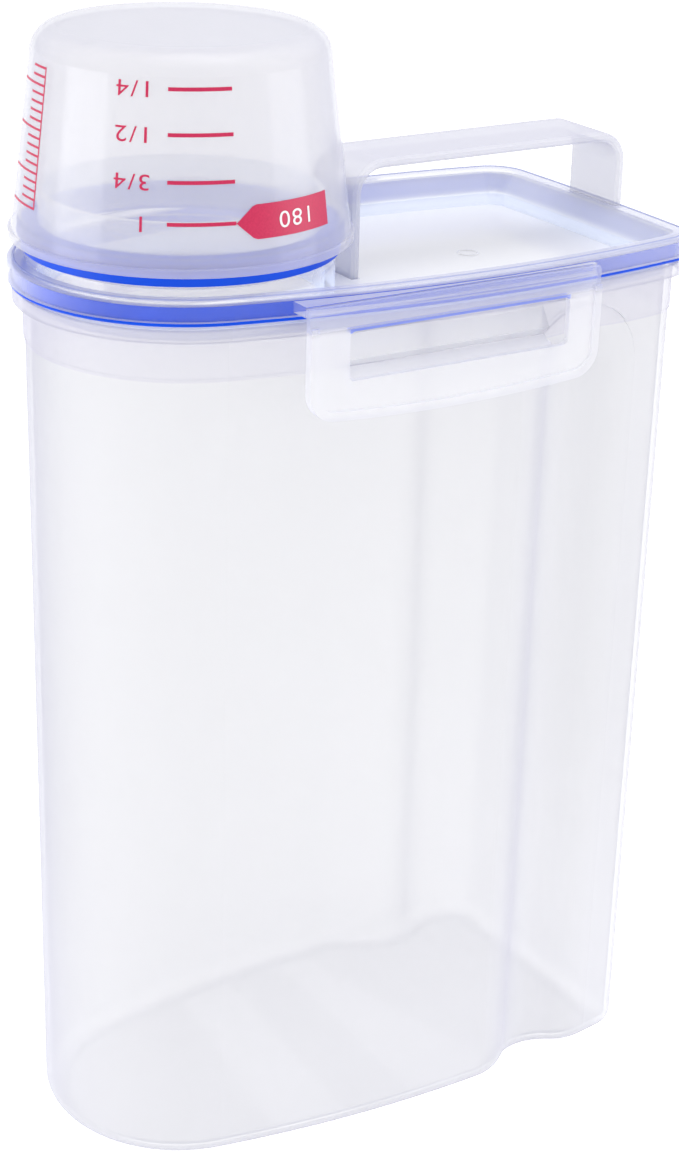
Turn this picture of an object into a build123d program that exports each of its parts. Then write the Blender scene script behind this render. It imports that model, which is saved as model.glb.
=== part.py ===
from build123d import *
import math
import os

# A slim dry-food or laundry-powder keeper: a scooped container, a clamped lid with a pouring spout,
# a measuring cup that caps the spout, a carrying strap and two latch flaps.
# Millimetres. Z is up, X runs from the spout end (-X) to the rear (+X), and the base stands at z = 0.

# Plan outline of the lid
length = 178.0
width = 102.0
nose_radius = 44.0
belly_from_nose = 66.0
rear_radius = 900.0
corner_radius = 11.8

# Container
rim_height = 241.0
wall = 1.6
floor_thickness = 2.0
wall_inset = 4.2
draft_angle = 0.24
base_fillet = 6.5
base_fillet_margin = 0.09
floor_chamfer = 2.9
flange_depth = 4.2
flange_inset = 1.2
flange_thickness = 1.2
neck_band_height = 14.0
neck_band_step = 0.4

# Finger scoops in the long sides
scoop_from_rear = 39.5
scoop_half_width = 19.5
scoop_depth = 6.9
scoop_arch_drop = 27.5

# Catch ribs on the long sides, which the latch hooks hold
catch_from_nose = 18.5
catch_length = 61.0
catch_inset = 0.7
catch_top_drop = 5.0
catch_point_drop = 10.4
catch_bottom_drop = 13.4
catch_relief = 1.4
catch_root_depth = 8.0

# Lid
skirt_wall = 1.4
skirt_gap = 1.2
crest_height = 6.5
roof = 1.6
crest_width = 4.5
crest_round = 1.2
lid_wall = 1.4
plug_clearance = 0.4
plug_depth = 4.8
panel_drop = 9.9

# Spout and its collar
collar_gap = 0.6
collar_rise = 2.5
collar_shelf = 2.9
spout_wall = 1.6
spout_undercut = 0.3
spout_rise = 14.5

# Measuring cup, upside down over the spout
cup_height = 52.0
cup_edge_inset = 1.0
cup_taper = 6.6
cup_wall = 1.3
cup_end_wall = 1.4
cup_fillet = 6.6
cup_lip_reach = 0.5
cup_lip_height = 2.2
cup_lift_off = 3.0
cup_stop_depth = 1.2
cup_stop_height = 1.0

# Seals
seal_gap = 0.15
cup_seal_clearance = 1.5
cup_seal_height = 6.6
cup_seal_lip = 0.9
seal_fit = 0.3

# Carrying strap
strap_width = 21.5
strap_thickness = 2.4
strap_rise = 20.9
strap_bend = 9.0
strap_front_gap = 5.6
strap_rear_inset = 1.5
strap_socket = 0.8
strap_fit = 0.15
strap_edge = 0.7

# Latch flaps and their hinge
hinge_outset = 1.6
hinge_drop = 2.7
hinge_bead = 1.1
hinge_fit = 0.3
hinge_seat_reach = 0.7
hinge_seat_height = 2.7
flap_height = 29.0
flap_thickness = 1.6
flap_corner = 7.5
flap_bottom_bow = 2.0
flap_border = 2.2
flap_border_rise = 0.8
flap_border_start = 3.6
flap_front_margin = 11.5
flap_rear_margin = 9.5
window_front_gap = 1.5
window_rear_gap = 3.5
window_top_drop = 5.8
window_sill = 1.2
window_corner = 1.5
hook_reach = 4.3
hook_gap = 0.4
hook_height = 5.0
hook_tip = 1.0

# Places in plan that follow from the sizes above
half_width = width / 2
nose_x = nose_radius - length / 2
belly_x = nose_x + belly_from_nose
side_radius = (belly_from_nose**2 + half_width**2 - nose_radius**2) / (2 * (half_width - nose_radius))
side_centre_y = side_radius - half_width
rear_centre_x = length / 2 - rear_radius
draft = math.tan(math.radians(draft_angle))
base_inset = wall_inset + draft * rim_height
plug_inset = wall_inset + wall + plug_clearance
collar_radius = nose_radius - crest_width - collar_gap
spout_radius = collar_radius - collar_shelf
spout_bore = spout_radius + spout_undercut
cup_open_radius = nose_radius - cup_edge_inset
cup_closed_radius = cup_open_radius - cup_taper
cup_seal_radius = cup_open_radius - cup_wall - cup_seal_clearance
scoop_x = length / 2 - scoop_from_rear
catch_start = nose_x + catch_from_nose
catch_end = catch_start + catch_length
catch_root = half_width - wall_inset - wall + catch_relief
catch_point = half_width - catch_inset
window_start = catch_start - window_front_gap
window_end = catch_end + window_rear_gap
flap_start = window_start - flap_front_margin
flap_end = window_end + flap_rear_margin
flap_x = (flap_start + flap_end) / 2
flap_length = flap_end - flap_start
hinge_y = half_width + hinge_outset
flap_face = hinge_y + hinge_bead - flap_thickness
strap_front_x = nose_x + collar_radius + strap_front_gap
strap_rear_x = length / 2 - strap_rear_inset

# Heights that follow from the sizes above
skirt_z = rim_height + skirt_gap
crest_z = rim_height + crest_height
ceiling_z = crest_z - roof
panel_z = crest_z - panel_drop
plug_z = rim_height - plug_depth
collar_z = crest_z + collar_rise
spout_z = collar_z + spout_rise
cup_edge_z = collar_z + cup_lift_off
cup_top_z = cup_edge_z + cup_height
scoop_arch_z = rim_height - scoop_arch_drop
catch_point_z = rim_height - catch_point_drop
catch_bottom_z = rim_height - catch_bottom_drop
hinge_z = crest_z - hinge_drop
window_top = hinge_z - window_top_drop
window_low = catch_bottom_z - window_sill
strap_top_z = crest_z + strap_rise


def circles_meet(x1, r1, y1, x2, r2):
    """Where a circle about (x1, y1) crosses one about (x2, 0), at the larger x."""
    dx = x2 - x1
    dy = -y1
    span = math.hypot(dx, dy)
    along = (span**2 + r1**2 - r2**2) / (2 * span)
    across = math.sqrt(r1**2 - along**2)
    middle = (x1 + along * dx / span, y1 + along * dy / span)
    ways = [(middle[0] + s * across * dy / span, middle[1] - s * across * dx / span) for s in (1, -1)]
    return max(ways)


def arc_about(centre, start, end):
    """The shorter arc about a centre from one point to another."""
    radius = math.dist(centre, start)
    first = math.atan2(start[1] - centre[1], start[0] - centre[0])
    last = math.atan2(end[1] - centre[1], end[0] - centre[0])
    turn = (last - first + math.pi) % (2 * math.pi) - math.pi
    middle = first + turn / 2
    through = (centre[0] + radius * math.cos(middle), centre[1] + radius * math.sin(middle))
    return ThreePointArc(start, through, end)


def scoop_bell(inset):
    """One half of the scoop's level section: a hollow centre arc that turns into a round edge arc.

    Points are (across the scoop, out from the centre of the side's arc). Both arcs are offsets of the
    outer surface at the base, so the wall keeps its thickness round the scoop.
    """
    bend = (scoop_half_width**2 + scoop_depth**2) / (4 * scoop_depth)
    surface = side_radius - base_inset
    extra = inset - base_inset
    hollow = (0, surface - scoop_depth + bend)
    reach = surface - bend
    spread = math.acos((hollow[1] ** 2 + reach**2 - 4 * bend**2) / (2 * hollow[1] * reach))
    edge = (reach * math.sin(spread), reach * math.cos(spread))
    share = (bend + extra) / (2 * bend)
    join = (share * edge[0], hollow[1] + share * (edge[1] - hollow[1]))
    lip = ((side_radius - inset) * math.sin(spread), (side_radius - inset) * math.cos(spread))
    return hollow, edge, join, lip


def scoop_turn():
    """How far round the near side's arc the scoop lies."""
    return math.asin((scoop_x - belly_x) / (side_radius - base_inset))


def near_side(inset, scooped):
    """The near long side from the nose to the rear corner, as arcs, with its two ends."""
    centre = (belly_x, side_centre_y)
    share = (nose_radius - inset) / (side_radius - nose_radius)
    start = (nose_x - share * belly_from_nose, -share * side_centre_y)
    end = circles_meet(belly_x, side_radius - inset, side_centre_y, rear_centre_x, rear_radius - inset)
    if not scooped:
        return [arc_about(centre, start, end)], start, end
    turn = scoop_turn()

    def placed(point, way=1):
        across = way * point[0]
        x = centre[0] + across * math.cos(turn) + point[1] * math.sin(turn)
        return (x, centre[1] + across * math.sin(turn) - point[1] * math.cos(turn))

    hollow, edge, join, lip = scoop_bell(inset)
    arcs = [
        arc_about(centre, start, placed(lip, -1)),
        arc_about(placed(edge, -1), placed(lip, -1), placed(join, -1)),
        arc_about(placed(hollow), placed(join, -1), placed(join)),
        arc_about(placed(edge), placed(join), placed(lip)),
        arc_about(centre, placed(lip), end),
    ]
    return arcs, start, end


def outline(inset, z, scooped=False):
    """The plan outline moved inwards: a round nose, bulging sides and a nearly flat rear."""
    near, start, end = near_side(inset, scooped)
    far = [mirror(arc, about=Plane.XZ) for arc in near]
    nose = ThreePointArc((start[0], -start[1]), (nose_x - nose_radius + inset, 0), start)
    rear = ThreePointArc(end, (length / 2 - inset, 0), (end[0], -end[1]))
    face = make_face([nose, rear] + near + far)
    corners = face.vertices().filter_by(lambda v: abs(v.X - end[0]) < 0.01)
    return Pos(0, 0, z) * fillet(corners, corner_radius - inset)


def prism(inset, bottom, top):
    """An upright block with the plan outline."""
    return extrude(outline(inset, bottom), top - bottom, dir=(0, 0, 1))


def tapered(low_inset, bottom, high_inset, top, scooped=False):
    """A block whose outline changes evenly from the bottom to the top."""
    return loft([outline(low_inset, bottom, scooped), outline(high_inset, top, scooped)], ruled=True)


def square(near, low, far, high):
    """The corners of an upright rectangle, as (distance, height)."""
    return [(near, low), (far, low), (far, high), (near, high)]


def turned(points):
    """A ring or cap: a section of (radius, height) points turned about the spout's axis."""
    section = Plane.XZ * make_face(Polyline(*points, close=True))
    return Pos(nose_x, 0, 0) * revolve(section, Axis.Z)


def cone_block(low_radius, low, high_radius, high):
    """A solid cone's lower part on the spout's axis."""
    return turned([(0, low), (low_radius, low), (high_radius, high), (0, high)])


def side_bar(section, start_x, end_x, side):
    """A straight bar along X. Its section is given as (distance outwards, height)."""
    points = [(start_x, side * out, z) for out, z in section]
    return extrude(make_face(Polyline(*points, close=True)), end_x - start_x, dir=(1, 0, 0))


def upright(start_x, low, end_x, high):
    """A rectangle that stands along X."""
    points = [(x, 0, z) for x, z in square(start_x, low, end_x, high)]
    return make_face(Polyline(*points, close=True))


def scoop_dish(inset):
    """The round upper end of the near scoop, turned about the scoop's level axis."""
    hollow, edge, join, lip = scoop_bell(inset)
    outside = side_radius + scoop_depth
    deep = (0, hollow[1] - math.dist(hollow, join))
    walls = Polyline(lip, (lip[0], outside), (0, outside), deep)
    dish = revolve(make_face([arc_about(hollow, deep, join), arc_about(edge, join, lip), walls]), Axis.Y)
    turn = scoop_turn()
    across = (math.cos(turn), math.sin(turn), 0)
    return Plane((belly_x, side_centre_y, scoop_arch_z), x_dir=across, z_dir=(0, 0, -1)) * dish


def hull(rim_inset, bottom, top, ease, size):
    """The container's outer or inner volume: drafted walls, scoops and an eased edge at the base.

    The easing of the base stays smaller than the outline's own corners there.
    """
    base = rim_inset + draft * (rim_height - bottom)
    arch = rim_inset + draft * (rim_height - scoop_arch_z)
    size = min(size, corner_radius - base - base_fillet_margin)
    lower = tapered(base, bottom, arch, scoop_arch_z, scooped=True)
    lower = ease(lower.edges().group_by(Axis.Z)[0], size)
    upper = tapered(arch, scoop_arch_z, rim_inset, top)
    dish = scoop_dish(arch)
    return lower + (upper - dish - mirror(dish, about=Plane.XZ))


def catch_rib(side):
    """A wedge along one long side, straight where the wall bulges, for the latch hook."""
    buried = catch_root - catch_root_depth
    top = rim_height - catch_top_drop
    section = [
        (buried, top + catch_relief),
        (catch_root, top),
        (catch_point, catch_point_z),
        (catch_root, catch_bottom_z),
        (buried, catch_bottom_z - catch_relief),
    ]
    return side_bar(section, catch_start, catch_end, side)


def make_container():
    """The scooped container, its neck band, its turned-down flange and two catch ribs."""
    outer = hull(wall_inset, 0, rim_height, fillet, base_fillet)
    dish = scoop_dish(wall_inset + draft * (rim_height - scoop_arch_z))
    band = prism(wall_inset - neck_band_step, rim_height - neck_band_height, rim_height)
    outer += band - dish - mirror(dish, about=Plane.XZ)
    flange = prism(flange_inset, rim_height - flange_depth, rim_height)
    flange = chamfer(flange.edges().group_by(Axis.Z)[-1], flange_thickness / 2)
    flange -= prism(flange_inset + flange_thickness, rim_height - flange_depth, rim_height - wall)
    outer += flange
    for side in (1, -1):
        outer += catch_rib(side)
    return outer - hull(wall_inset + wall, floor_thickness, rim_height + wall, chamfer, floor_chamfer)


def lid_tray():
    """The plug that enters the container's mouth, with walls that slope out to the crest."""
    tray = prism(plug_inset, plug_z, rim_height)
    return tray + tapered(plug_inset, rim_height, crest_width - lid_wall, crest_z)


def lid_recess():
    """The hollow above the lid's panel, which leaves the column of the spout's collar standing."""
    recess = prism(plug_inset + lid_wall, panel_z, rim_height)
    recess += tapered(plug_inset + lid_wall, rim_height, crest_width, crest_z)
    return recess - cone_block(collar_radius, plug_z, collar_radius, crest_z)


def lid_spout():
    """The pouring spout: a ring on the lid's rim, a shelf for the cup's seal and the tube above it."""
    shelf_z = collar_z - spout_wall
    inner = spout_radius - spout_wall
    spout = turned(square(spout_bore, ceiling_z, collar_radius, shelf_z))
    spout += turned(square(inner, shelf_z, collar_radius, collar_z))
    return spout + turned(square(inner, collar_z, spout_radius, spout_z))


def hinge_seat(side):
    """The ledge on the skirt that carries one flap, hollowed for the flap's bead."""
    reach = hinge_y - hinge_seat_reach
    low = hinge_z - hinge_seat_height / 2
    section = square(nose_radius - skirt_wall, low, reach, low + hinge_seat_height)
    ledge = side_bar(section, flap_start, flap_end, side)
    bead = Rot(0, 90, 0) * Cylinder(hinge_bead + hinge_fit, flap_length)
    ledge -= Pos(flap_x, side * hinge_y, hinge_z) * bead
    return ledge - prism(skirt_wall / 2, skirt_z, crest_z)


def strap_feet(slack):
    """The two feet of the strap, grown by a slack, to sink its sockets into the lid."""
    foot = Box(strap_thickness + 2 * slack, strap_width + 2 * slack, 2 * strap_socket)
    front = Pos(strap_front_x + strap_thickness / 2, 0, panel_z) * foot
    rear = Pos(strap_rear_x - strap_thickness / 2, 0, crest_z) * foot
    return [front, rear]


def make_lid():
    """The lid: a clamped rim channel, a plug tray, a stepped pouring spout and two hinge seats."""
    rim = prism(0, skirt_z, crest_z)
    rim = fillet(rim.edges().group_by(Axis.Z)[-1], crest_round)
    rim -= prism(skirt_wall, skirt_z, ceiling_z)
    lid = rim + lid_tray() - lid_recess()
    lid -= cone_block(spout_bore, plug_z, spout_bore, crest_z)
    lid += lid_spout()
    for side in (1, -1):
        lid += hinge_seat(side)
    for foot in strap_feet(strap_fit):
        lid -= foot
    return lid


def make_lid_seal():
    """The silicone ring that fills the rim channel and lies on the container's rim."""
    ring = prism(skirt_wall + seal_gap, rim_height + seal_gap, ceiling_z - seal_gap)
    return ring - tapered(plug_inset - seal_gap, rim_height, crest_width - lid_wall - seal_gap, crest_z)


def cup_inner(z):
    """The radius inside the cup at a height."""
    return cup_open_radius - cup_wall - cup_taper * (z - cup_edge_z) / cup_height


def make_cup_seal():
    """The silicone ring round the spout, with two lips that grip the inside of the cup."""
    bore = spout_radius + seal_gap
    low = collar_z + seal_gap
    top = low + cup_seal_height
    neck = cup_seal_radius - cup_seal_lip
    points = [(bore, low), (cup_seal_radius, low), (cup_seal_radius, cup_edge_z)]
    for z in (cup_edge_z + cup_seal_lip, top - cup_seal_lip):
        reach = cup_inner(z) - seal_fit
        points += [(neck, z - cup_seal_lip / 2), (reach, z)]
        points += [(reach, z + cup_seal_lip / 2), (neck, z + cup_seal_lip)]
    return turned(points + [(bore, top)])


def make_cup():
    """The measuring cup, upside down: drafted wall, rounded end, lip band and an inner stop ring."""
    outer = cone_block(cup_open_radius, cup_edge_z, cup_closed_radius, cup_top_z)
    outer = fillet(outer.edges().group_by(Axis.Z)[-1], cup_fillet)
    end_z = cup_top_z - cup_end_wall
    inner = cone_block(cup_inner(cup_edge_z), cup_edge_z, cup_inner(end_z), end_z)
    inner = fillet(inner.edges().group_by(Axis.Z)[-1], cup_fillet - cup_wall)
    lip_radius = cup_open_radius + cup_lip_reach
    band = turned(square(cup_closed_radius, cup_edge_z, lip_radius, cup_edge_z + cup_lip_height))
    rims = band.edges().filter_by(GeomType.CIRCLE).group_by(SortBy.RADIUS)[-1]
    band = chamfer(rims, cup_lip_reach / 2)
    stop_z = collar_z + cup_seal_height + 2 * seal_gap
    stop_radius = cup_inner(stop_z) - cup_stop_depth
    stop = turned([
        (stop_radius, stop_z),
        (cup_open_radius - cup_wall / 2, stop_z),
        (cup_open_radius - cup_wall, stop_z + cup_stop_height + cup_stop_depth),
        (stop_radius, stop_z + cup_stop_height),
    ])
    return outer + band - inner + (stop & outer)


def strap_side(start_x, low, end_x, top, bend):
    """A block seen from the side, with its two upper corners rounded."""
    face = upright(start_x, low, end_x, top)
    return fillet(face.vertices().group_by(Axis.Z)[-1], bend)


def make_strap():
    """The carrying strap: a flat band bent down at both ends into the lid's sockets."""
    low = panel_z - strap_socket
    thick = strap_thickness
    shape = strap_side(strap_front_x, low, strap_rear_x, strap_top_z, strap_bend)
    inside = (strap_front_x + thick, low, strap_rear_x - thick, strap_top_z - thick)
    shape -= strap_side(*inside, strap_bend - thick)
    shape -= upright(strap_rear_x - 2 * thick, low, strap_rear_x + thick, crest_z - strap_socket)
    strap = extrude(shape, strap_width / 2, both=True)
    edges = strap.edges().filter_by(lambda e: abs(abs(e.center().Y) - strap_width / 2) < 0.01)
    return chamfer(edges.filter_by(lambda e: e.center().Z > crest_z), strap_edge)


def flap_outline(inset):
    """The flap seen from the side of the keeper, hanging down from its hinge line."""
    left = flap_start + inset
    right = flap_end - inset
    low = hinge_z - flap_height + inset
    shoulder = low + flap_bottom_bow
    bow = ThreePointArc((right, 0, shoulder), (flap_x, 0, low), (left, 0, shoulder))
    rest = Polyline((left, 0, shoulder), (left, 0, hinge_z), (right, 0, hinge_z), (right, 0, shoulder))
    face = make_face([bow, rest])
    return fillet(face.vertices().group_by(Axis.Z)[0], flap_corner - inset)


def flap_hook():
    """The hook that snaps under the far catch rib, just inside the window's lower edge."""
    tip = flap_face - hook_reach
    slope = (catch_point_z - catch_bottom_z) / (catch_point - catch_root)
    tip_z = catch_bottom_z + slope * (tip - catch_root) - hook_gap
    buried = flap_face + flap_thickness / 2
    section = [
        (buried, window_low),
        (flap_face, window_low),
        (tip, tip_z),
        (tip, tip_z - hook_tip),
        (flap_face, window_low - hook_height),
        (buried, window_low - hook_height),
    ]
    return side_bar(section, catch_start, catch_end, 1)


def make_flap(side):
    """A latch flap: hinge bead, bordered plate with a window, and a hook along its inner face."""
    outline_face = flap_outline(0)
    plate = extrude(outline_face, flap_thickness, dir=(0, -1, 0))
    past = flap_border
    hinge_strip = upright(flap_start - past, hinge_z - flap_border_start, flap_end + past, hinge_z + past)
    frame = outline_face - flap_outline(flap_border) - hinge_strip
    border = extrude(frame, flap_border_rise, dir=(0, 1, 0))
    flap = Pos(0, hinge_y + hinge_bead, 0) * (plate + border)
    flap += Pos(flap_x, hinge_y, hinge_z) * Rot(0, 90, 0) * Cylinder(hinge_bead, flap_length)
    window = upright(window_start, window_low, window_end, window_top)
    window = fillet(window.vertices(), window_corner)
    flap -= Pos(0, hinge_y, 0) * extrude(window, flap_thickness + flap_border_rise, both=True)
    flap += flap_hook()
    return flap if side > 0 else mirror(flap, about=Plane.XZ)


def write_parts():
    parts = {
        "container": make_container(),
        "lid": make_lid(),
        "lid_seal": make_lid_seal(),
        "cup_seal": make_cup_seal(),
        "measuring_cup": make_cup(),
        "carrying_strap": make_strap(),
        "near_latch_flap": make_flap(-1),
        "far_latch_flap": make_flap(1),
    }
    os.makedirs("parts", exist_ok=True)
    for name, shape in parts.items():
        export_step(shape, f"parts/{name}.step")


if __name__ == "__main__":
    write_parts()
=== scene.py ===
import math

import bpy
from mathutils import Matrix, Vector


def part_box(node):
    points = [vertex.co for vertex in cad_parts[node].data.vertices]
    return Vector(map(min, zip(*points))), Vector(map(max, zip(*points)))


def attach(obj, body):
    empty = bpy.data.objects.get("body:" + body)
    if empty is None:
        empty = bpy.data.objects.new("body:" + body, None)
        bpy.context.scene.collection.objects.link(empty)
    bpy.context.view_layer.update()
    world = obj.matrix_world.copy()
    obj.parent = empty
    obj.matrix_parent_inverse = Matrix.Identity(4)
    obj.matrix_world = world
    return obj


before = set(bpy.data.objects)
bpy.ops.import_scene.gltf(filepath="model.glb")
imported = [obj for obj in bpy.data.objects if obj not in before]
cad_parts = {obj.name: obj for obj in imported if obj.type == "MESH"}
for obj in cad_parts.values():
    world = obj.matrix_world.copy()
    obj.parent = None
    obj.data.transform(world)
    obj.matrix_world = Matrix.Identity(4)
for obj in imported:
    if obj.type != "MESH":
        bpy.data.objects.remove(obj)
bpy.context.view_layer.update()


# Camera
# A long lens, above the keeper and in front of its spout end, looking down at it.
# The frame is taken to be 679 by 1152 pixels, so the focal length in pixels gives the lens.
frame_height_px = 1152
focal_px = 2459.5
camera_place = Vector((-0.3357, -0.5315, 0.4130))
camera_yaw = math.radians(32.67)
camera_pitch = math.radians(-22.69)
camera_roll = math.radians(1.59)

camera_data = bpy.data.cameras.new("camera")
camera_data.sensor_width = 36.0
camera_data.lens = focal_px / frame_height_px * camera_data.sensor_width
camera_data.clip_start = 0.01
camera_data.clip_end = 50.0
camera = bpy.data.objects.new("camera", camera_data)
turn = Matrix.Rotation(-camera_yaw, 4, "Z")
tilt = Matrix.Rotation(math.pi / 2 + camera_pitch, 4, "X")
roll = Matrix.Rotation(camera_roll, 4, "Z")
camera.matrix_world = Matrix.Translation(camera_place) @ turn @ tilt @ roll
scene = bpy.context.scene
scene.collection.objects.link(camera)
scene.camera = camera
scene.view_settings.view_transform = "Standard"
# Many thin clear walls stand one behind the other, and a ray has to pass them all.
scene.cycles.transparent_max_bounces = 32


# Studio
# A white sweep of floor under an even white sky. One soft box stands beyond the spout end, one off
# the near rear corner, and a wide one hangs above. All three are aimed at the cup.
class Shade:
    """One output of a material's nodes. Arithmetic on it adds Math nodes."""

    def __init__(self, finish, socket):
        self.finish = finish
        self.socket = socket

    def math(self, operation, first, second):
        return self.finish.node("ShaderNodeMath", {"operation": operation}, {0: first, 1: second})

    def __add__(self, other):
        return self.math("ADD", self, other)

    def __sub__(self, other):
        return self.math("SUBTRACT", self, other)

    def __rsub__(self, other):
        return self.math("SUBTRACT", other, self)

    def __mul__(self, other):
        return self.math("MULTIPLY", self, other)

    def __pow__(self, other):
        return self.math("POWER", self, other)

    def __abs__(self):
        return self.finish.node("ShaderNodeMath", {"operation": "ABSOLUTE"}, {0: self})

    __radd__ = __add__
    __rmul__ = __mul__

    def at_most(self, other):
        return self.math("MINIMUM", self, other)

    def at_least(self, other):
        return self.math("MAXIMUM", self, other)

    def rising(self, start, full):
        """0 before the start, 1 past the second value, and smooth between them."""
        settings = {"interpolation_type": "SMOOTHSTEP"}
        inputs = {"Value": self, "From Min": start, "From Max": full}
        return self.finish.node("ShaderNodeMapRange", settings, inputs)

    def within(self, start, full, fading, end):
        """0 before the start and past the end, 1 between the two middle values."""
        return self.rising(start, full) * (1.0 - self.rising(fading, end))


class Finish:
    """A node tree in the making, for a material or the sky."""

    def __init__(self, owner):
        owner.use_nodes = True
        self.owner = owner
        self.tree = owner.node_tree
        self.tree.nodes.clear()

    def node(self, kind, settings=None, inputs=None, output=0):
        """A node of a kind, its settings first and then the values or links of its sockets."""
        made = self.tree.nodes.new(kind)
        for name, value in (settings or {}).items():
            setattr(made, name, value)
        for name, value in (inputs or {}).items():
            if isinstance(value, Shade):
                self.tree.links.new(value.socket, made.inputs[name])
            else:
                made.inputs[name].default_value = value
        return Shade(self, made.outputs[output])

    def blend(self, factor, low, high):
        """A colour between two colours."""
        return self.node("ShaderNodeMix", {"data_type": "RGBA"}, {0: factor, 6: low, 7: high}, 2)

    def axes(self, vector):
        """The three parts of a vector."""
        return [self.node("ShaderNodeSeparateXYZ", None, {"Vector": vector}, k) for k in range(3)]

    def place(self):
        """Where the point is on the part, along X, Y and Z in metres."""
        return self.axes(self.node("ShaderNodeTexCoord", output="Object"))

    def level(self, start, full):
        """0 on upright faces and 1 on those that look up or down."""
        normal = self.axes(self.node("ShaderNodeTexCoord", output="Normal"))
        return abs(normal[2]).rising(start, full)

    def noise(self, scale, detail):
        """Cloudy noise in the part's own metres."""
        place = self.node("ShaderNodeTexCoord", output="Object")
        inputs = {"Vector": place, "Scale": scale, "Detail": detail, "Roughness": 0.5}
        return self.node("ShaderNodeTexNoise", {"noise_dimensions": "3D"}, inputs, "Fac")

    def looked_at(self):
        """1 for what is seen, also in a reflection or through the plastic, 0 for other light."""
        kinds = ("Camera", "Glossy", "Transmission")
        rays = [self.node("ShaderNodeLightPath", output=f"Is {kind} Ray") for kind in kinds]
        return sum(rays).at_most(1.0)

    def close(self, surface, output="ShaderNodeOutputMaterial"):
        """Joins the surface to the tree's output and hands back the material or the sky."""
        self.tree.links.new(surface.socket, self.tree.nodes.new(output).inputs["Surface"])
        return self.owner


def linear(red, green, blue):
    """A colour given in screen values from 0 to 255, as light."""
    parts = [value / 255 for value in (red, green, blue)]
    light = [part / 12.92 if part <= 0.04045 else ((part + 0.055) / 1.055) ** 2.4 for part in parts]
    return (*light, 1.0)


def grid_piece(name, rows, closed=False):
    """A smooth mesh whose faces join each row of points to the next."""
    count = len(rows[0])
    points = [point for row in rows for point in row]
    faces = []
    for row in range(len(rows) - 1):
        for column in range(count if closed else count - 1):
            first = row * count + column
            second = row * count + (column + 1) % count
            faces.append((first, second, second + count, first + count))
    mesh = bpy.data.meshes.new(name)
    mesh.from_pydata(points, [], faces)
    mesh.polygons.foreach_set("use_smooth", [True] * len(faces))
    piece = bpy.data.objects.new(name, mesh)
    scene.collection.objects.link(piece)
    return piece


white = (1.0, 1.0, 1.0, 1.0)
black = (0.0, 0.0, 0.0, 1.0)

sky_light = 0.75
sky = bpy.data.worlds.new("sky")
scene.world = sky
sky_finish = Finish(sky)
sky_strength = sky_finish.looked_at() * (1.0 - sky_light) + sky_light
backdrop = {"Color": white, "Strength": sky_strength}
sky_surface = sky_finish.node("ShaderNodeBackground", None, backdrop)
sky_finish.close(sky_surface, "ShaderNodeOutputWorld")

floor_reach = 6.0
floor_steps = 12
floor_colour = linear(252, 252, 253)
floor_glow = 0.5
floor_places = [floor_reach * (2 * k / floor_steps - 1) for k in range(floor_steps + 1)]
floor = grid_piece("floor", [[(x, y, 0.0) for x in floor_places] for y in floor_places])
floor_finish = Finish(bpy.data.materials.new("white_sweep"))
card = floor_finish.node("ShaderNodeBsdfDiffuse", None, {"Color": floor_colour})
glow = floor_finish.node("ShaderNodeEmission", None, {"Color": white, "Strength": floor_glow})
dark = floor_finish.node("ShaderNodeEmission", None, {"Color": black, "Strength": 0.0})
glow_rays = {0: floor_finish.looked_at(), 1: dark, 2: glow}
seen_glow = floor_finish.node("ShaderNodeMixShader", None, glow_rays)
floor_surface = floor_finish.node("ShaderNodeAddShader", None, {0: card, 1: seen_glow})
floor.data.materials.append(floor_finish.close(floor_surface))

cup_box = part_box("measuring_cup")
cup_middle = Vector(cup_box[0] + cup_box[1]) / 2


def soft_box(name, place, width, height, power):
    """A rectangular lamp aimed at the cup, which the camera doesn't see."""
    lamp = bpy.data.lights.new(name, "AREA")
    lamp.shape = "RECTANGLE"
    lamp.size = width
    lamp.size_y = height
    lamp.energy = power
    box = bpy.data.objects.new(name, lamp)
    box.location = place
    box.rotation_euler = (cup_middle - Vector(place)).to_track_quat("-Z", "Y").to_euler()
    box.visible_camera = False
    scene.collection.objects.link(box)


soft_box("left_box", place=(-0.98, 0.2, 0.2), width=0.65, height=0.3, power=2.3)
soft_box("right_box", place=(0.78, -0.6, 0.2), width=0.6, height=0.4, power=1.6)
soft_box("top_box", place=(0.1, -0.2, 1.6), width=1.0, height=1.0, power=7.2)


# Container
# A deep box of milky polypropylene with a scoop down each long side, injection moulded in one shot.
# It stands on its own rounded base, and its rim carries the lid.
plastic_ior = 1.49
edge_falloff = 2.2
sheen_spread = 0.12
least_cover = 0.02


def frosted(name, face, edge, face_cover, edge_cover, rough, gloss=0.5,
            milk=None, stain=None, glow=None):
    """Milky plastic: thin where it faces the eye, denser and more violet where it turns away.
    Milk adds to its cover, stain colours a part of it, and glow is painted light, an emission on a
    part that is no lamp."""
    finish = Finish(bpy.data.materials.new(name))
    facing = finish.node("ShaderNodeLayerWeight", None, {"Blend": 0.5}, "Facing")
    turned = facing ** edge_falloff
    cover = turned * (edge_cover - face_cover) + face_cover
    if milk:
        cover = cover + milk(finish)
    colour = finish.blend(turned, face, edge)
    if stain:
        stained, stain_colour = stain(finish)
        colour = finish.blend(stained, colour, stain_colour)
    clouds = finish.noise(scale=14.0, detail=3.0)
    grain = finish.noise(scale=900.0, detail=2.0)
    relief = {"Strength": 0.04, "Distance": 0.0002, "Height": grain}
    inputs = {
        "Base Color": colour,
        "Roughness": clouds * sheen_spread + (rough - sheen_spread / 2),
        "IOR": plastic_ior,
        "Specular IOR Level": gloss,
        "Alpha": cover.at_least(least_cover).at_most(1.0),
        "Normal": finish.node("ShaderNodeBump", None, relief, "Normal"),
    }
    # A painted glow: emission from a part that is no lamp.
    if glow:
        painted_glow_mask, glow_colour = glow(finish)
        inputs["Emission Color"] = finish.blend(painted_glow_mask, black, glow_colour)
        inputs["Emission Strength"] = 1.0
    return finish.close(finish.node("ShaderNodeBsdfPrincipled", None, inputs))


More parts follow.
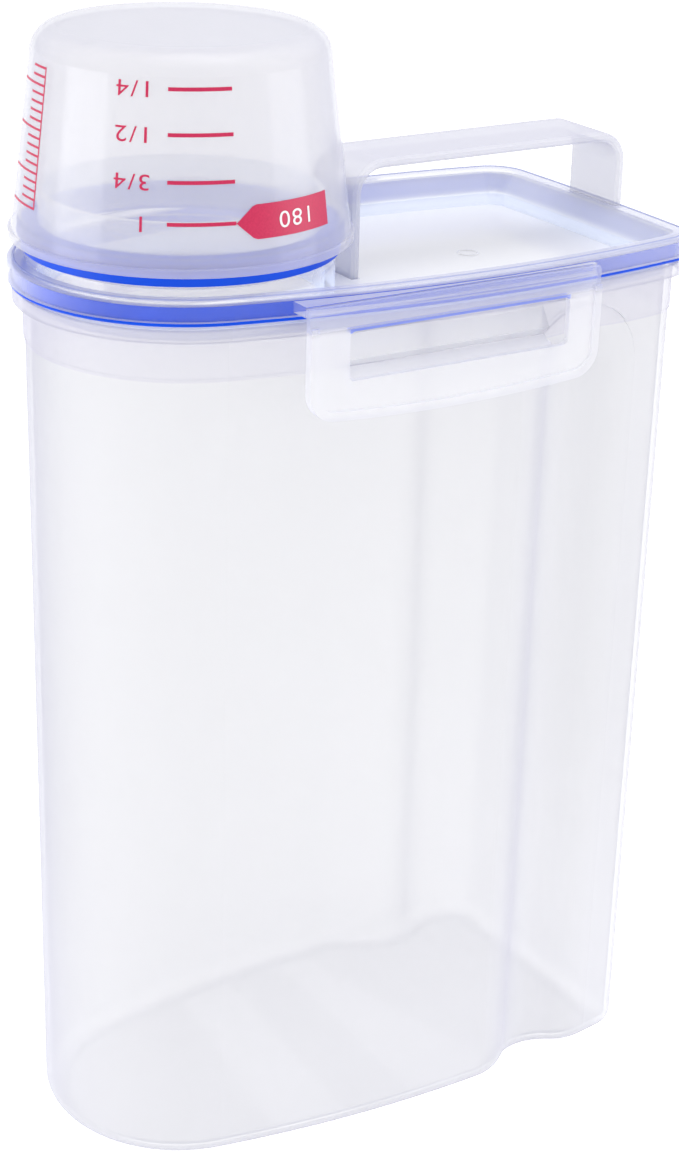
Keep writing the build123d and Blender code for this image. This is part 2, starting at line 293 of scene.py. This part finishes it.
def dress(node, material):
    """Puts one finish on all of a part's faces."""
    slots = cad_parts[node].data.materials
    for place in range(len(slots)):
        slots[place] = material
    if not slots:
        slots.append(material)


collar_heights = (0.2262, 0.2268, 0.2400, 0.2410)
collar_line_heights = (0.2259, 0.2262, 0.2264, 0.2267)
collar_stain = 0.38
collar_line_stain = 0.5
collar_colour = linear(216, 212, 236)
# Painted glow on the lower wall: how high it reaches and its colour.
painted_base_glow_height = 0.12
painted_base_glow_colour = (0.075, 0.075, 0.08, 1.0)


def collar_band(finish):
    """The wall is thicker for its top 15 mm, below the rim, and steps back under it."""
    z = finish.place()[2]
    band = z.within(*collar_heights) * collar_stain
    line = z.within(*collar_line_heights) * collar_line_stain
    upright = 1.0 - finish.level(start=0.2, full=0.5)
    return (band + line) * upright, collar_colour


def painted_base_glow(finish):
    """A painted glow: an emission that lightens the thick base and fades out going up."""
    return 1.0 - finish.place()[2].rising(0.0, painted_base_glow_height), painted_base_glow_colour


milky_container = frosted(
    "milky_container", face=linear(240, 240, 243), edge=linear(192, 192, 212),
    face_cover=0.31, edge_cover=0.8, rough=0.36, gloss=0.2, stain=collar_band, glow=painted_base_glow)
dress("container", milky_container)


# Lid
# A clear polypropylene lid, moulded in one: a rim channel that holds the seal, a sunk panel and
# the pouring spout. Its skirt is thin and polished; its level and sloping parts are milkier.

# The outline in plan: the round nose, the near side, a corner and the rear, and then mirrored.
nose_centre = (-0.045, 0.0)
nose_radius = 0.044
side_centre = (0.021, 0.30764)
side_radius = 0.35864
rear_centre = (-0.811, 0.0)
rear_radius = 0.9
corner_radius = 0.0118
nose_steps = 28
side_steps = 40
corner_steps = 12
rear_steps = 8
recess_inset = 0.0035
recess_fade = 0.0008
arc_join = 0.0001


def inside_crest(finish):
    """1 on the walls inside the crest's middle and on what lies within them, 0 on the skirt."""
    x, y, z = finish.place()
    across = abs(y) + side_centre[1]
    to_side = side_radius - ((x - side_centre[0]) ** 2.0 + across * across) ** 0.5
    to_nose = nose_radius - ((x - nose_centre[0]) ** 2.0 + y * y) ** 0.5
    to_rear = rear_centre[0] + rear_radius - x
    behind_nose = x.rising(nose_centre[0] - arc_join, nose_centre[0] + arc_join)
    inset = (to_side * behind_nose + to_nose * (1.0 - behind_nose)).at_most(to_rear)
    return inset.rising(recess_inset, recess_inset + recess_fade)


slope_milk = 0.18
rear_milk = 0.1
rear_recess_milk = 0.14
tray_milk = 0.36
spout_milk = 0.28
rear_milk_places = (-0.02, 0.06)
tray_heights = (0.2385, 0.2430)
spout_heights = (0.2495, 0.2515)
crest_heights = (0.2466, 0.2473, 0.2477, 0.2480)
crest_stain = 0.8
crest_colour = linear(214, 217, 242)
# Painted glow in the recess: its heights on the walls and round the spout, its strength there, and
# its blue.
painted_wall_glow_heights = (0.2440, 0.2475)
painted_spout_glow_heights = (0.2478, 0.2500)
painted_spout_glow = 0.35
painted_recess_glow_colour = (0.14, 0.18, 0.27, 1.0)


def lid_milk(finish):
    """Slopes, the tray and the spout are milky, and all of the lid is milkier towards its rear."""
    x, y, z = finish.place()
    slope = finish.level(start=0.15, full=0.6) * slope_milk
    rear = x.rising(*rear_milk_places) * (inside_crest(finish) * rear_recess_milk + rear_milk)
    tray = (1.0 - z.rising(*tray_heights)) * tray_milk
    return slope + rear + tray + z.rising(*spout_heights) * spout_milk


def crest_tint(finish):
    """The level crest is the thickest part seen from above, and its plastic looks most violet."""
    return finish.place()[2].within(*crest_heights) * crest_stain, crest_colour


def painted_recess_glow(finish):
    """A painted blue glow: an emission that lightens the recess's walls below the crest and the
    plastic round the spout.
    """
    z = finish.place()[2]
    wall = 1.0 - finish.level(start=0.2, full=0.6)
    below_crest = 1.0 - z.rising(*painted_wall_glow_heights)
    spout = z.rising(*painted_spout_glow_heights) * painted_spout_glow
    return inside_crest(finish) * (wall * below_crest + spout), painted_recess_glow_colour


clear_lid = frosted(
    "clear_lid", face=linear(250, 250, 250), edge=linear(232, 234, 246),
    face_cover=0.05, edge_cover=0.8, rough=0.12, gloss=0.4,
    milk=lid_milk, stain=crest_tint, glow=painted_recess_glow)
dress("lid", clear_lid)


def corner_centre():
    """The middle of the near rear corner's arc, a corner radius inside the side and the rear."""
    to_side = side_radius - corner_radius
    to_rear = rear_radius - corner_radius
    dx = rear_centre[0] - side_centre[0]
    dy = rear_centre[1] - side_centre[1]
    span = math.hypot(dx, dy)
    along = (span**2 + to_side**2 - to_rear**2) / (2 * span)
    across = math.sqrt(to_side**2 - along**2)
    middle = (side_centre[0] + along * dx / span, side_centre[1] + along * dy / span)
    return (middle[0] - across * dy / span, middle[1] + across * dx / span)


def arc_points(centre, radius, start, end, steps):
    """Points along an arc, the last one left out."""
    turns = [start + (end - start) * k / steps for k in range(steps)]
    return [(centre[0] + radius * math.cos(t), centre[1] + radius * math.sin(t)) for t in turns]


def direction(centre, point):
    """The angle at which a point lies from a centre."""
    return math.atan2(point[1] - centre[1], point[0] - centre[0])


def lid_line(inset):
    """Points round the lid, an inset inside its outline."""
    corner = corner_centre()
    to_nose = direction(side_centre, nose_centre)
    to_corner = direction(side_centre, corner)
    to_rear = direction(rear_centre, corner)
    near = arc_points(nose_centre, nose_radius - inset, -math.pi, to_nose, nose_steps)
    near += arc_points(side_centre, side_radius - inset, to_nose, to_corner, side_steps)
    near += arc_points(corner, corner_radius - inset, to_corner, to_rear, corner_steps)
    near += arc_points(rear_centre, rear_radius - inset, to_rear, 0.0, rear_steps)
    far = [(x, -y) for x, y in reversed(near[1:])]
    rear_middle = (rear_centre[0] + rear_radius - inset, 0.0)
    return near + [rear_middle] + far


def lid_ring(name, section):
    """A ring round the lid, from the corners of its section, each an inset and a height."""
    rows = [[(x, y, height) for x, y in lid_line(inset)] for inset, height in section + section[:1]]
    return grid_piece(name, rows, closed=True)


# Seals
# Two rings of blue silicone rubber, one pressed into the lid's rim channel and one stretched
# round the spout. They keep the contents dry.
silicone_blue = linear(2, 80, 234)
silicone_deep = tuple(0.75 * part for part in silicone_blue[:3]) + (1.0,)
# The painted glow of the rubber, an emission between these two blues.
silicone_painted_glow = ((0.0, 0.01, 0.08, 1.0), (0.0, 0.02, 0.12, 1.0))
silicone_roughness = 0.32
silicone_spread = 0.15
silicone_gloss = 0.2


def silicone():
    """Matt rubber with a faint painted blue glow, an emission that keeps its shaded side blue."""
    finish = Finish(bpy.data.materials.new("blue_silicone"))
    clouds = finish.noise(scale=60.0, detail=3.0)
    grain = finish.noise(scale=2500.0, detail=2.0)
    relief = {"Strength": 0.1, "Distance": 0.0002, "Height": grain}
    inputs = {
        "Base Color": finish.blend(clouds, silicone_deep, silicone_blue),
        "Roughness": clouds * silicone_spread + silicone_roughness,
        "Specular IOR Level": silicone_gloss,
        "Normal": finish.node("ShaderNodeBump", None, relief, "Normal"),
        "Emission Color": finish.blend(clouds, *silicone_painted_glow),
        "Emission Strength": 1.0,
    }
    return finish.close(finish.node("ShaderNodeBsdfPrincipled", None, inputs))


blue_silicone = silicone()
dress("lid_seal", blue_silicone)
dress("cup_seal", blue_silicone)


# Lip of the lid seal
# The seal's outer lip, of the same silicone and in one with it.
# The closed lid squeezes it out under the skirt until it is flush with it.
lip_low = 0.24116
lip_cheek_low = 0.24135
lip_middle = 0.2416
lip_cheek_high = 0.2419
lip_high = 0.24212
lip_root = 0.0014
lip_shoulder = 0.0008
lip_cheek = 0.0005
lip_face = 0.0004
lip_section = [
    (lip_root, lip_low),
    (lip_shoulder, lip_low),
    (lip_cheek, lip_cheek_low),
    (lip_face, lip_middle),
    (lip_cheek, lip_cheek_high),
    (lip_shoulder, lip_high),
    (lip_root, lip_high),
]
seal_lip = lid_ring("lid_seal_lip", lip_section)
seal_lip.data.materials.append(blue_silicone)
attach(seal_lip, "lid_body")


# Gate ring
# A small raised ring on the sunk panel, in one with the lid.
# It is the mark that the mould's gate leaves.
gate_middle = (0.0417, -0.0029)
gate_radius = 0.0027
gate_half_foot = 0.0004
gate_half_crown = 0.0002
gate_rise = 0.00022
gate_steps = 36
panel_height = 0.23758
gate_section = [
    (gate_half_foot, 0.0),
    (gate_half_crown, gate_rise),
    (-gate_half_crown, gate_rise),
    (-gate_half_foot, 0.0),
]
gate_rows = []
for outward, upward in gate_section:
    circle = arc_points(gate_middle, gate_radius + outward, 0.0, math.tau, gate_steps)
    gate_rows.append([(x, y, panel_height + upward) for x, y in circle])
gate_ring = grid_piece("lid_gate_ring", gate_rows, closed=True)
gate_ring.data.materials.append(clear_lid)
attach(gate_ring, "lid_body")


# Crest bead
# A fine raised line along the middle of the lid's crest, in one with the lid.
# It stands where the skirt and the recess's wall meet, and their thickness makes it bluer.
crest_middle = 0.0017
crest_height = 0.24748
bead_half = 0.00035
bead_crown_half = 0.6 * bead_half
bead_rise = 0.0002
bead_section = [
    (crest_middle - bead_half, crest_height),
    (crest_middle + bead_half, crest_height),
    (crest_middle + bead_crown_half, crest_height + bead_rise),
    (crest_middle - bead_crown_half, crest_height + bead_rise),
]
bead_plastic = frosted(
    "bead_plastic", face=linear(196, 204, 244), edge=linear(170, 180, 240),
    face_cover=0.5, edge_cover=0.8, rough=0.15)
crest_bead = lid_ring("lid_crest_bead", bead_section)
crest_bead.data.materials.append(bead_plastic)
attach(crest_bead, "lid_body")


# Measuring cup
# A thin clear cup of moulded polypropylene, turned over as the spout's cap.
# It is pushed down over the spout's seal, until its stop ring meets it.
clear_cup = frosted(
    "clear_cup", face=linear(238, 237, 242), edge=linear(209, 210, 228),
    face_cover=0.31, edge_cover=0.72, rough=0.1)
dress("measuring_cup", clear_cup)


# Printed scale
# The cup's marks, numbers, flag and ruler, printed on its outside in crimson ink.
# They are read with the cup the other way up.
cup_axis = -0.045
cup_edge_z = 0.253
cup_edge_radius = 0.043
cup_slope = 6.6 / 52.0
ink_lift = 0.00008
ink_roughness = 0.3
ink_spread = 0.2
ink_thinning = 1.25
number_stretch = 1.26
number_gap = 1.12
band_step = 1.5


def cup_radius(height):
    """The radius of the cup's outside at a height."""
    return cup_edge_radius - cup_slope * (height - cup_edge_z)


class Print:
    """Ink marks that lie on the cup, gathered into one mesh."""

    def __init__(self, name, colour, lift):
        self.name = name
        self.colour = colour
        self.lift = lift
        self.points = []
        self.faces = []

    def dot(self, degrees, height):
        """Adds a point of ink, from its angle round the cup and its height."""
        radius = cup_radius(height) + self.lift
        turn = math.radians(degrees)
        self.points.append((cup_axis + radius * math.cos(turn), radius * math.sin(turn), height))

    def band(self, start, end, low, high):
        """A band round the cup. Its low and high sides are numbers or change with the angle."""
        steps = max(1, math.ceil(abs(end - start) / band_step))
        first = len(self.points)
        for k in range(steps + 1):
            degrees = start + (end - start) * k / steps
            for side in (low, high):
                self.dot(degrees, side(degrees) if callable(side) else side)
        for k in range(steps):
            corner = first + 2 * k
            self.faces.append((corner, corner + 2, corner + 3, corner + 1))

    def number(self, text, middle, height, size):
        """A number that is read with the cup the other way up."""
        curve = bpy.data.curves.new(text, "FONT")
        curve.body = text
        curve.size = size
        curve.space_character = number_gap
        curve.align_x = "CENTER"
        curve.align_y = "CENTER"
        letters = bpy.data.objects.new(text, curve)
        flat = bpy.data.meshes.new_from_object(letters)
        first = len(self.points)
        for vertex in flat.vertices:
            across = math.degrees(number_stretch * vertex.co.x / cup_radius(height))
            self.dot(middle - across, height - vertex.co.y)
        self.faces += [tuple(first + v for v in face.vertices) for face in flat.polygons]
        bpy.data.objects.remove(letters)

    def finished(self):
        """The piece, in ink that lies a little unevenly."""
        mesh = bpy.data.meshes.new(self.name)
        mesh.from_pydata(self.points, [], self.faces)
        piece = bpy.data.objects.new(self.name, mesh)
        scene.collection.objects.link(piece)
        finish = Finish(bpy.data.materials.new(self.name))
        speckle = finish.noise(scale=1800.0, detail=2.0)
        thin = tuple(min(1.0, ink_thinning * part + 0.01) for part in self.colour[:3]) + (1.0,)
        ink = {
            "Base Color": finish.blend(speckle, self.colour, thin),
            "Roughness": speckle * ink_spread + ink_roughness,
        }
        mesh.materials.append(finish.close(finish.node("ShaderNodeBsdfPrincipled", None, ink)))
        return piece


marks = Print("cup_scale", colour=linear(196, 14, 76), lift=ink_lift)

# Four marks with their numbers, for a quarter to the whole of a measure.
mark_start = -123.4
mark_end = -100.5
mark_thickness = 0.0009
mark_heights = {"1/4": 0.2966, "1/2": 0.2862, "3/4": 0.2753, "1": 0.2656}
number_size = 0.0053
fraction_middle = -135.5
whole_middle = -132.0
for text, height in mark_heights.items():
    marks.band(mark_start, mark_end, height - mark_thickness / 2, height + mark_thickness / 2)
    middle = whole_middle if text == "1" else fraction_middle
    marks.number(text, middle, height, number_size)

# The flag at the full mark widens from the mark's end to its shoulder.
flag_low = 0.2614
flag_high = 0.2696
flag_middle = (flag_low + flag_high) / 2
flag_shoulder = -94.0
flag_end = -61.0


def flag_half(degrees):
    """Half of the flag's width at an angle."""
    widening = min(1.0, (degrees - mark_end) / (flag_shoulder - mark_end))
    return widening * (flag_high - flag_low) / 2


def flag_lower(degrees):
    return flag_middle - flag_half(degrees)


def flag_upper(degrees):
    return flag_middle + flag_half(degrees)


marks.band(mark_end, flag_end, flag_lower, flag_upper)

# The ruler's line with its ticks, the first and every fifth of them long.
ruler_side = -177.0
ruler_width = 0.8
ruler_low = 0.2640
ruler_high = 0.2974
tick_count = 17
tick_half = 0.00028
long_tick = 21.0
short_tick = 10.5
marks.band(ruler_side - ruler_width, ruler_side, ruler_low, ruler_high)
for k in range(tick_count):
    height = ruler_low + (ruler_high - ruler_low) * k / (tick_count - 1)
    reach = long_tick if k == 0 or k % 5 == 4 else short_tick
    marks.band(ruler_side - reach, ruler_side, height - tick_half, height + tick_half)

cup_scale = marks.finished()
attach(cup_scale, "cup_body")


# Number on the flag
# The full measure in millilitres, in white ink over the crimson flag.
# Like the rest of the print, it is read with the cup the other way up.
flag_number_place = -77.0
flag_number_size = 0.0056
full_measure = Print("flag_number", colour=linear(245, 240, 243), lift=2 * ink_lift)
full_measure.number("180", flag_number_place, flag_middle, flag_number_size)
flag_number = full_measure.finished()
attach(flag_number, "cup_body")


# Carrying strap
# A flat springy band of milky polypropylene, moulded by itself and bent down at both ends.
# Its feet are pushed into sockets in the lid.
milky_strap = frosted(
    "milky_strap", face=linear(230, 230, 240), edge=linear(204, 204, 224),
    face_cover=0.44, edge_cover=0.85, rough=0.35, gloss=0.3)
dress("carrying_strap", milky_strap)


# Latch flaps
# Two clear flaps on film hinges, with a thickened border and a window over the catch.
# The window's upper edge carries the blue of the seal above it, as the edge of a clear sheet does.
window_places = (-0.0285, -0.0278, 0.0378, 0.0385)
window_edge_heights = (0.2384, 0.2387, 0.2396, 0.2399)
window_edge_milk = 0.35
window_edge_stain = 0.85
above_window = (0.2388, 0.2400)
above_window_clear = 0.06
hinge_heights = (0.2398, 0.2403)
hinge_stain = 0.25
seal_tint = linear(92, 124, 236)
border_heights = (0.2380, 0.2400)
# Colour of the painted glow on the flap's border.
painted_border_glow_colour = (0.06, 0.06, 0.058, 1.0)


def window_edge(finish):
    """1 along the window's upper edge."""
    x, y, z = finish.place()
    return x.within(*window_places) * z.within(*window_edge_heights)


def flap_milk(finish):
    above = finish.place()[2].rising(*above_window)
    return window_edge(finish) * window_edge_milk - above * above_window_clear


def flap_stain(finish):
    hinge = finish.place()[2].rising(*hinge_heights)
    return window_edge(finish) * window_edge_stain + hinge * hinge_stain, seal_tint


def painted_border_glow(finish):
    """A painted glow: an emission that lightens the flap's thick border, fading out above it."""
    return 1.0 - finish.place()[2].rising(*border_heights), painted_border_glow_colour


milky_flap = frosted(
    "milky_flap", face=linear(251, 251, 255), edge=linear(212, 214, 240),
    face_cover=0.31, edge_cover=0.8, rough=0.2, gloss=0.4,
    milk=flap_milk, stain=flap_stain, glow=painted_border_glow)
dress("near_latch_flap", milky_flap)
dress("far_latch_flap", milky_flap)
